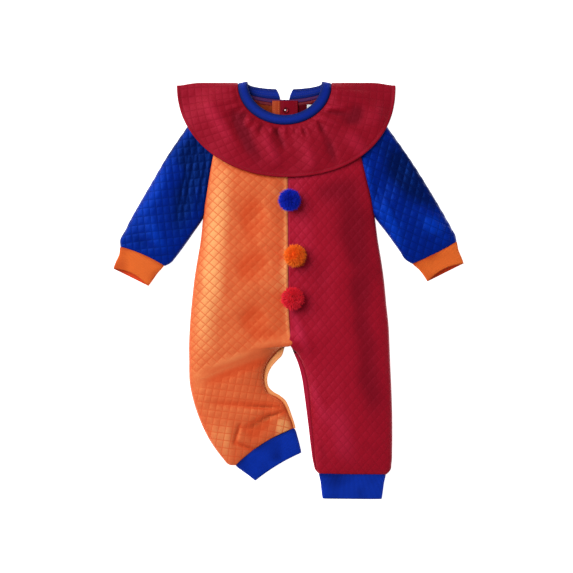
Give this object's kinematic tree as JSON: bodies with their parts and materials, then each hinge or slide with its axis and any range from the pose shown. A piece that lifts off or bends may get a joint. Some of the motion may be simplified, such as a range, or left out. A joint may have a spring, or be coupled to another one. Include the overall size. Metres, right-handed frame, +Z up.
{
  "type": "clown jumpsuit",
  "caption": "Long-sleeved quilted baby clown romper in two halves of colour, with a wide gathered neck ruffle, rib cuffs and yarn pompoms, laid flat on its back.",
  "frame": {"origin": "middle of the garment's box in plan, on the surface that it lies on", "axes": "+Z up from the surface to the garment's front, +Y from the ankles to the neck, +X to the crimson half"},
  "size_m": [0.4722, 0.5609, 0.0471],
  "materials": {
    "orange_quilt": "orange quilted jersey, soft",
    "crimson_quilt": "crimson quilted jersey, soft",
    "blue_quilt": "royal blue quilted jersey, soft",
    "orange_rib": "orange rib knit",
    "blue_rib": "navy blue rib knit",
    "crimson_frill": "crimson quilted jersey",
    "white_tape": "white woven tape, blank",
    "snap_metal": "nickel-plated press stud",
    "blue_yarn": "blue yarn pile",
    "orange_yarn": "orange yarn pile",
    "red_yarn": "red yarn pile"
  },
  "bodies": {
    "root": {"ankle_cuff_orange_leg": "blue_rib", "ankle_cuff_red_leg": "blue_rib", "back_orange": "orange_quilt", "back_red": "crimson_quilt", "front_orange": "orange_quilt", "front_red": "crimson_quilt", "label": "white_tape", "leg_band_orange": "orange_quilt", "leg_band_red": "crimson_quilt", "neckband": "blue_rib", "placket_orange": "orange_quilt", "placket_red": "crimson_frill", "pompom_blue": "blue_yarn", "pompom_orange": "orange_yarn", "pompom_red": "red_yarn", "ruffle": "crimson_frill", "sleeve_cuff_left": "orange_rib", "sleeve_cuff_right": "orange_rib", "sleeve_left": "blue_quilt", "sleeve_right": "blue_quilt", "snap_1": "snap_metal", "snap_2": "snap_metal", "snap_3": "snap_metal"}
  },
  "joints": []
}
